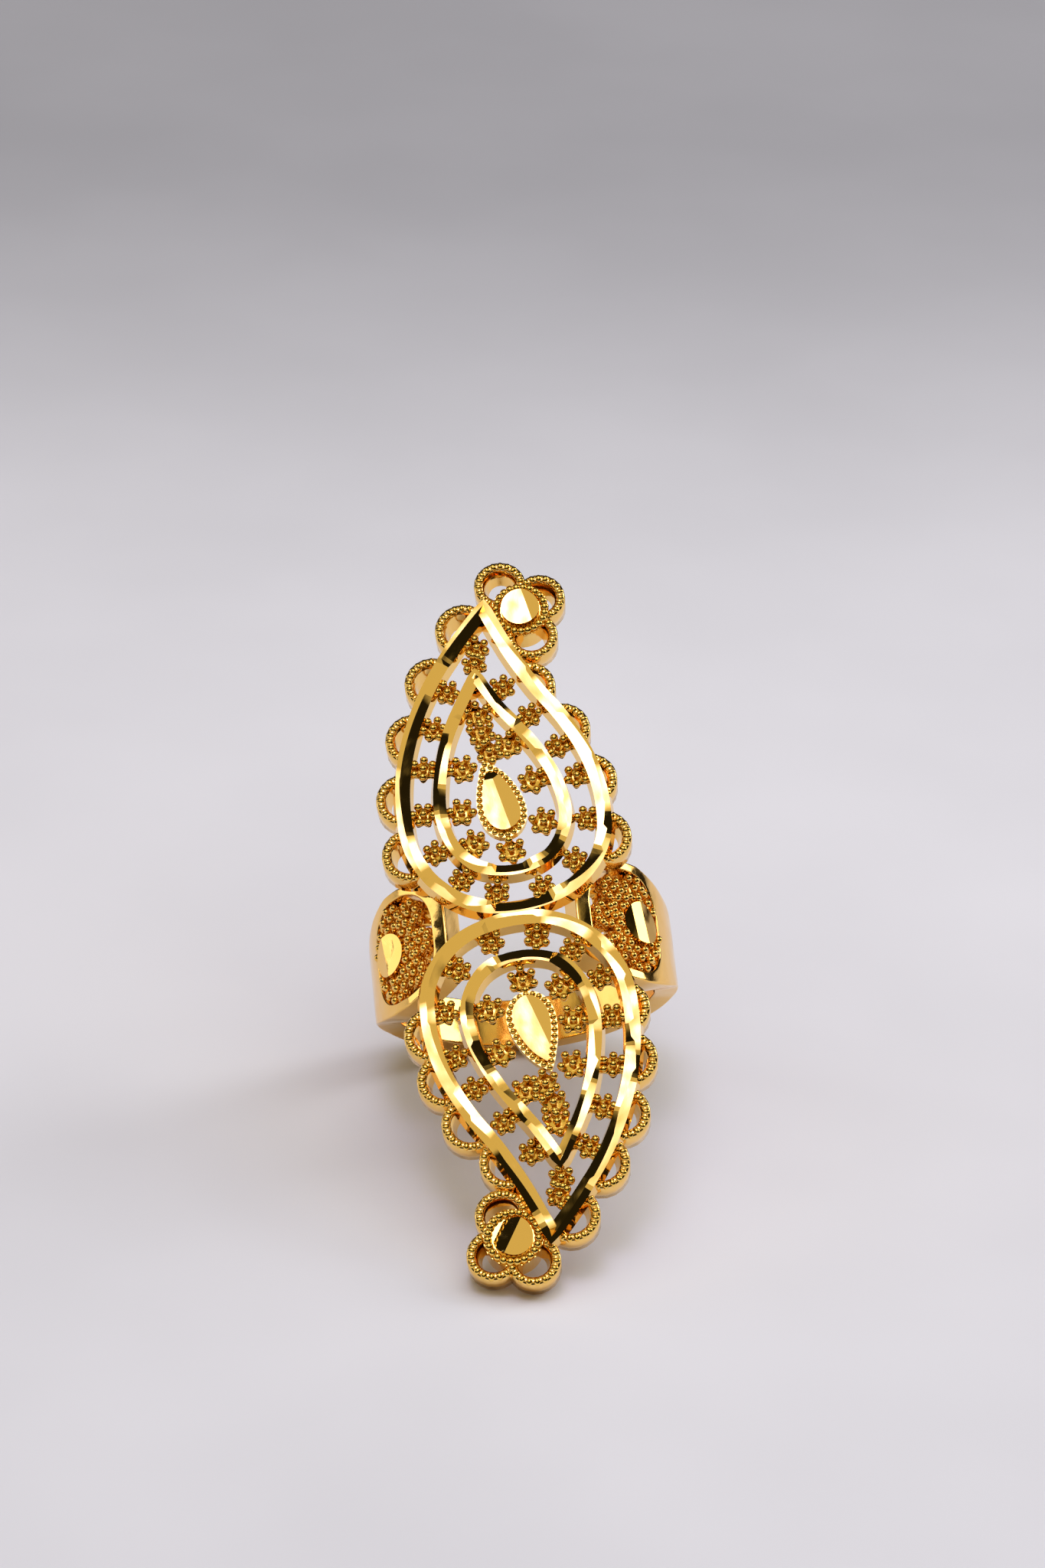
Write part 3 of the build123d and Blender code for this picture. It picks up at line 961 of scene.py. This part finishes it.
def shoulder_edge(window):
    """The shoulder's own edge, with a point for each of the window's."""
    long, wide, corner, reach = window_half()
    middle = sizes("panel").window_angle
    off_corner = corner * (1 - sqrt(0.5))
    edge = []
    for bearing, along in window:
        across = (bearing - middle) * reach / (long - off_corner)
        beside = along / (wide - off_corner)
        if abs(across) > abs(beside):
            across = 1 if across > 0 else -1
        else:
            beside = 1 if beside > 0 else -1
        across, beside = max(-1, min(1, across)), max(-1, min(1, beside))
        span = LAST_BEARING - middle if across > 0 else middle - strip_bearing()
        there = middle + across * span
        edge.append((there, beside * half_width(there)))
    return edge


def bent(piece, thickness):
    """Bends a flat pattern round the finger: X is the bearing, Y stays, Z runs from outside to inside."""
    inner = sizes("band").finger_radius
    for vertex in piece.data.vertices:
        bearing, along, depth = vertex.co.x / BEND, vertex.co.y, -vertex.co.z / thickness
        radius = outer_reach(bearing) * (1 - depth) + inner * depth
        vertex.co = (radius * sin(bearing), along, bore_height() + radius * cos(bearing))


def flat_shank():
    """Half the shank as a flat sheet: rings round the window out to the edge, and steps down the band."""
    window = window_outline()
    edge = shoulder_edge(window)
    set_apart()
    bpy.ops.mesh.primitive_circle_add(vertices=len(window), fill_type="NOTHING", enter_editmode=True)
    piece = bpy.context.object
    row = list(range(len(window)))
    for ring in range(WALL_RINGS):
        if ring:
            bpy.ops.mesh.extrude_edges_move()
            row = followed(piece, row)
        t = ring / (WALL_RINGS - 1)
        moved(piece, row, [
            ((bearing + (far_bearing - bearing) * t) * BEND, along + (far_along - along) * t, 0)
            for (bearing, along), (far_bearing, far_along) in zip(window, edge)
        ])
    end = [vertex for vertex, place in zip(row, edge) if abs(place[0] - LAST_BEARING) < 1e-4]
    only_edges(piece, lambda edge: all(vertex.index in end for vertex in edge.verts))
    shares = [edge[row.index(vertex)][1] / half_width(LAST_BEARING) for vertex in end]
    for step in range(1, BAND_STEPS + 1):
        bpy.ops.mesh.extrude_edges_move()
        end = followed(piece, end)
        bearing = LAST_BEARING + (pi - LAST_BEARING) * step / BAND_STEPS
        moved(piece, end, [(bearing * BEND, part * half_width(bearing), 0) for part in shares])
    return piece


class RingPiece:
    """What the operators of the ring share."""
    bl_options = {"REGISTER", "UNDO"}

    @classmethod
    def poll(cls, context):
        return hasattr(context.scene, "ring_face")


class RING_OT_shank(RingPiece, bpy.types.Operator):
    """Models the band with its two shoulders and their windows"""
    bl_idname = "ring.shank"
    bl_label = "Shank"

    def execute(self, context):
        band = sizes("band")
        thickness = band.shoulder_wall
        piece = flat_shank()
        bpy.ops.mesh.select_all(action="SELECT")
        bpy.ops.mesh.normals_make_consistent(inside=False)
        bpy.ops.mesh.extrude_region_move(TRANSFORM_OT_translate={"value": (0, 0, -thickness)})
        mesh = bmesh.from_edit_mesh(piece.data)
        chosen(mesh, lambda face: all(vertex.co.x > (pi - 1e-4) * BEND for vertex in face.verts))
        bpy.ops.mesh.delete(type="FACE")
        for level, rounding in ((0, band.edge_round), (-thickness, band.edge_round / 2)):
            only_edges(piece, lambda edge: self.sharp_at(edge, level))
            bpy.ops.mesh.bevel(offset=rounding, segments=3, profile=0.5, clamp_overlap=True)
        put_down("shank")
        bent(piece, thickness)
        for vertex in piece.data.vertices:
            if abs(vertex.co.x) < 2 * SEAM:
                vertex.co.x = 0
        mirror = piece.modifiers.new("other side", "MIRROR")
        mirror.merge_threshold = 4 * SEAM
        smoother = piece.modifiers.new("smoother", "SUBSURF")
        smoother.levels = smoother.render_levels = 2
        taken_up(piece)
        for modifier in ("other side", "smoother"):
            bpy.ops.object.modifier_apply(modifier=modifier)
        bpy.ops.object.mode_set(mode="EDIT")
        put_down("shank")
        finished(on_finger(shaded_smooth(piece, limit=60)), gold_of("polished"))
        return {"FINISHED"}

    def sharp_at(self, edge, level):
        """Whether an edge of the plate is sharp and lies at a level."""
        flat = all(abs(vertex.co.z - level) < 2 * SEAM for vertex in edge.verts)
        return flat and len(edge.link_faces) == 2 and edge.calc_face_angle(0) > 1


def panel_stand(across, along):
    """The frame on a shoulder's surface at a place in its window, on the right-hand side."""
    panel = sizes("panel")
    radius, lift = wall_radii()
    lean = panel.window_angle
    side = Vector((cos(lean), 0, -sin(lean)))
    out = Vector((sin(lean), 0, cos(lean)))
    centre = Vector((0, 0, lift))
    reach = centre.dot(out) + sqrt((radius + panel.rise) ** 2 - (across - centre.dot(side)) ** 2)
    place = Vector((0, along, bore_height())) + side * across + out * reach
    return Matrix.Translation(place) @ Matrix((side, (0, 1, 0), out)).transposed().to_4x4()


def window_place(row):
    """A table row as a place in a window."""
    panel = sizes("panel")
    return row[0] * panel.window_length / 2, row[1] * panel.window_width / 2


class RING_OT_panels(RingPiece, bpy.types.Operator):
    """Fills both shoulder windows with rosettes and a striped disc"""
    bl_idname = "ring.panels"
    bl_label = "Shoulder panels"

    def in_window(self, index, place):
        """Whether a granule of one rosette lies inside the window and beside the disc."""
        panel = sizes("panel")
        granule = sizes("granules").granule_radius
        across, along = window_place(PANEL_ROSETTES[index])
        across, along = across + place.x, along + place.y
        disc_across, disc_along = window_place(PANEL_DISC)
        if hypot(across - disc_across, along - disc_along) < panel.disc_radius + granule / 2:
            return False
        corner = panel.window_corner
        beyond_across = max(0, abs(across) - panel.window_length / 2 + corner)
        beyond_along = max(0, abs(along) - panel.window_width / 2 + corner)
        return hypot(beyond_across, beyond_along) < corner - granule / 2

    def execute(self, context):
        panel = sizes("panel")
        middle = Vector((0, 0))
        stands = [panel_stand(*window_place(row)) for row in PANEL_ROSETTES]
        for side, turn in SIDES:
            flowers = rosettes(
                f"panel_rosettes_{side}", stands, panel.rosette_radius, PANEL_FOOT, 0, self.in_window
            )
            finished(on_finger(turned(flowers, turn)), gold_of("granulated"))
            cuts = falls(middle, PANEL_CUTS[side])
            outline = circle(middle, panel.disc_radius)
            disc = cut_block(f"panel_disc_{side}", outline, PANEL_FOOT, PANEL_STOCK, cuts)
            disc.data.transform(panel_stand(*window_place(PANEL_DISC)))
            finished(on_finger(turned(disc, turn)), gold_of("cut"))
        return {"FINISHED"}


class RING_OT_frames(RingPiece, bpy.types.Operator):
    """Models the outer and inner frames of both teardrops, cut bright in facets"""
    bl_idname = "ring.frames"
    bl_label = "Frames"

    def execute(self, context):
        face = sizes("face")
        for half, turn in HALVES:
            cut_frame(f"outer_frame_{half}", OUTER_FRAME, OUTER_CUTS[half], face.outer_width, turn)
            cut_frame(f"inner_frame_{half}", INNER_FRAME, INNER_CUTS[half], face.inner_width, turn)
        return {"FINISHED"}


class RING_OT_drops(RingPiece, bpy.types.Operator):
    """Models the centre drops with their beaded borders"""
    bl_idname = "ring.drops"
    bl_label = "Centre drops"

    def execute(self, context):
        face = sizes("face")
        low = -face.lattice_depth
        collar, bead_line = drop_outline(face.drop_border), drop_outline(face.drop_border / 2)
        for half, turn in HALVES:
            cuts = falls(placed(FIELD_MIDDLE), DROP_CUTS[half])
            drop = cut_block(f"drop_{half}", drop_outline(0), low, STOCK, cuts)
            finished(turned(drop, turn), gold_of("cut"))
            beaded_border(f"drop_border_{half}", collar, bead_line, face.drop_bead, low, 1, turn)
        return {"FINISHED"}


class RING_OT_rosettes(RingPiece, bpy.types.Operator):
    """Models the granulated rosettes between the frames and round the drops"""
    bl_idname = "ring.rosettes"
    bl_label = "Rosettes"

    def execute(self, context):
        face, grain = sizes("face"), sizes("granules")
        for half, turn in HALVES:
            for kind, rows, reach in (
                ("channel", CHANNEL_ROSETTES, grain.rosette_radius),
                ("field", FIELD_ROSETTES, grain.field_rosette_radius),
            ):
                stands = [face_stand(row) for row in rows]
                name = f"{kind}_rosettes_{half}"
                flowers = rosettes(name, stands, reach, -face.lattice_depth, -grain.rosette_drop)
                finished(turned(flowers, turn), gold_of("granulated"))
        return {"FINISHED"}


class RING_OT_scallops(RingPiece, bpy.types.Operator):
    """Models the beaded wire loops along both teardrops and the petals of the end flowers"""
    bl_idname = "ring.scallops"
    bl_label = "Scallops and petals"

    def execute(self, context):
        grain = sizes("granules")
        outline = smooth(OUTER_FRAME)
        hidden = [(placed(DISC_CENTRE), grain.disc_radius + grain.disc_border / 2)]
        for half, turn in HALVES:
            circles = [(placed(row), grain.scallop_radius) for row in SCALLOPS[half]]
            circles += [(placed(row), grain.petal_radius) for row in PETALS[half]]
            loops(f"scallops_{half}", circles, hidden, outline, turn)
        return {"FINISHED"}


class RING_OT_end_flowers(RingPiece, bpy.types.Operator):
    """Models the polished disc of each end flower with its ring of beads"""
    bl_idname = "ring.end_flowers"
    bl_label = "End flowers"

    def execute(self, context):
        low = -sizes("face").depth
        grain = sizes("granules")
        middle = placed(DISC_CENTRE)
        reach = grain.disc_radius + grain.disc_border
        collar, bead_line = circle(middle, reach - 0.1 * MM), circle(middle, reach - 0.36 * MM)
        for half, turn in HALVES:
            cuts = falls(middle, DISC_CUTS[half])
            disc = cut_block(f"end_disc_{half}", circle(middle, grain.disc_radius), low, STOCK, cuts)
            finished(turned(disc, turn), gold_of("cut"))
            beaded_border(f"disc_border_{half}", collar, bead_line, grain.disc_bead, low, 1.4, turn)
        return {"FINISHED"}


class RING_OT_stage(RingPiece, bpy.types.Operator):
    """Lays the floor and sets the lights and the camera"""
    bl_idname = "ring.stage"
    bl_label = "Stage"

    def execute(self, context):
        studio = sizes("studio")
        self.floor(studio)
        self.room()
        key = self.softbox("key", studio.key_power, (0.42, 0.6, 0.72), distance=0.6, width=0.8, depth=0.8)
        key.data.color = studio.key_colour
        key.visible_glossy = False
        right, left = studio.side_power, studio.far_share * studio.side_power
        self.softbox("side", right, (0.84, 0.42, 0.12), distance=0.7, width=0.22, depth=0.46)
        self.softbox("far side", left, (-0.88, 0.415, 0.12), distance=0.7, width=0.24, depth=0.5)
        self.camera(studio)
        return {"FINISHED"}

    def floor(self, studio):
        """A wide plain floor, faintly mottled, with painted shade that darkens it towards the back."""
        set_apart()
        bpy.ops.mesh.primitive_grid_add(x_subdivisions=8, y_subdivisions=8, size=6)
        floor = bpy.context.object
        floor.name = "floor"
        material = bpy.data.materials.new("pale floor")
        paint = Paint(material)
        place = paint.node("ShaderNodeTexCoord", output=3)
        mottle = paint.noise(place, 25, 3)
        back = paint.along(place, (0, 1, 0))
        dark = tuple(0.94 * c for c in studio.floor_colour)
        base = paint.mix(mottle.fit(0.3, 0.7), dark, studio.floor_colour)
        # painted shade: further back the floor is mixed towards near black, for the light that falls off
        # there
        base = paint.mix(back.fit(50 * MM, 190 * MM, 0, 0.5), base, (0, 0, 0.01))
        paint.end("BsdfPrincipled", {"Base Color": base, "Roughness": 0.85})
        floor.data.materials.append(material)

    def room(self):
        """Soft light from above the face: a wide glow, two narrow ones in its middle, dark all round."""
        world = bpy.data.worlds.new("room")
        bpy.context.scene.world = world
        paint = Paint(world)
        place = paint.node("ShaderNodeTexCoord", output=0)
        facing = paint.along(place, laid_down().to_3x3() @ Vector((0, 0.415, 0.91)))

        def within(rim, full, low=0.0, high=1.0):
            """A glow from its rim to where it is full, in degrees from the middle."""
            return facing.fit(cos(radians(rim)), cos(radians(full)), low, high)

        light = within(48, 33, 0.015, 0.66) + within(20, 4, 0.0, 1.5) + within(11, 3, 0.0, 4.5)
        hue = paint.mix(within(20, 5), (1.0, 0.88, 0.5), (0.8, 0.75, 1.0))
        paint.end("Background", {"Color": hue, "Strength": light}, output="World")

    def softbox(self, name, power, bearing, distance, width, depth):
        """A large soft light that looks at the ring from a bearing in its own frame."""
        light = bpy.data.lights.new(name, "AREA")
        light.shape = "RECTANGLE"
        light.size, light.size_y = width, depth
        light.energy = power
        lamp = bpy.data.objects.new(name, light)
        away = (laid_down().to_3x3() @ Vector(bearing)).normalized()
        lamp.location = away * distance
        lamp.rotation_mode = "QUATERNION"
        lamp.rotation_quaternion = away.to_track_quat("Z", "Y")
        bpy.context.scene.collection.objects.link(lamp)
        return lamp

    def camera(self, studio):
        """The camera over the face, at the photograph's angle and distance."""
        picture_width, picture_height = 1365, 2048
        face_in_picture = (674.5, 1190)
        focal_pixels = 6195
        pitch, yaw, roll = studio.camera_pitch, studio.camera_yaw, studio.camera_roll
        away = Vector((cos(pitch) * sin(yaw), -sin(pitch), cos(pitch) * cos(yaw)))
        up = (Vector((0, 1, 0)) - away * away.y).normalized()
        right = up.cross(away)
        right, up = right * cos(roll) - up * sin(roll), up * cos(roll) + right * sin(roll)
        shift = Vector((face_in_picture[0] - picture_width / 2, face_in_picture[1] - picture_height / 2))
        reach = studio.camera_distance
        eye = away * reach + (up * shift.y - right * shift.x) * (reach / focal_pixels)
        data = bpy.data.cameras.new("camera")
        data.lens = focal_pixels / picture_height * data.sensor_width
        data.clip_start, data.clip_end = 0.01, 20
        camera = bpy.data.objects.new("camera", data)
        turn = Matrix((right, up, away)).transposed().to_4x4()
        camera.matrix_world = laid_down() @ Matrix.Translation(eye) @ turn
        bpy.context.scene.collection.objects.link(camera)
        bpy.context.scene.camera = camera


class RING_PT_sizes(bpy.types.Panel):
    """Sizes, colours and steps of the ring"""
    bl_idname = "RING_PT_sizes"
    bl_label = "Filigree ring"
    bl_space_type = "VIEW_3D"
    bl_region_type = "UI"
    bl_category = "Ring"

    def draw(self, context):
        for name in GROUPS:
            group = getattr(context.scene, name)
            box = self.layout.box()
            for key in group.__annotations__:
                box.prop(group, key)
        for step in STEPS:
            self.layout.operator(step.bl_idname)


STEPS = (
    RING_OT_shank, RING_OT_panels, RING_OT_frames, RING_OT_drops, RING_OT_rosettes, RING_OT_scallops,
    RING_OT_end_flowers, RING_OT_stage,
)


def register():
    """Registers the settings, the steps and the panel."""
    for kind in (*GROUPS.values(), *STEPS, RING_PT_sizes):
        bpy.utils.register_class(kind)
    for name, kind in GROUPS.items():
        setattr(bpy.types.Scene, name, PointerProperty(type=kind))


def unregister():
    """Takes the add-on out again."""
    for name in GROUPS:
        delattr(bpy.types.Scene, name)
    for kind in reversed((*GROUPS.values(), *STEPS, RING_PT_sizes)):
        bpy.utils.unregister_class(kind)


def main():
    """Models the ring and sets the stage."""
    register()
    bpy.context.scene.view_settings.view_transform = "Standard"
    for step in STEPS:
        group, name = step.bl_idname.split(".")
        getattr(getattr(bpy.ops, group), name)()


if __name__ == "__main__":
    main()
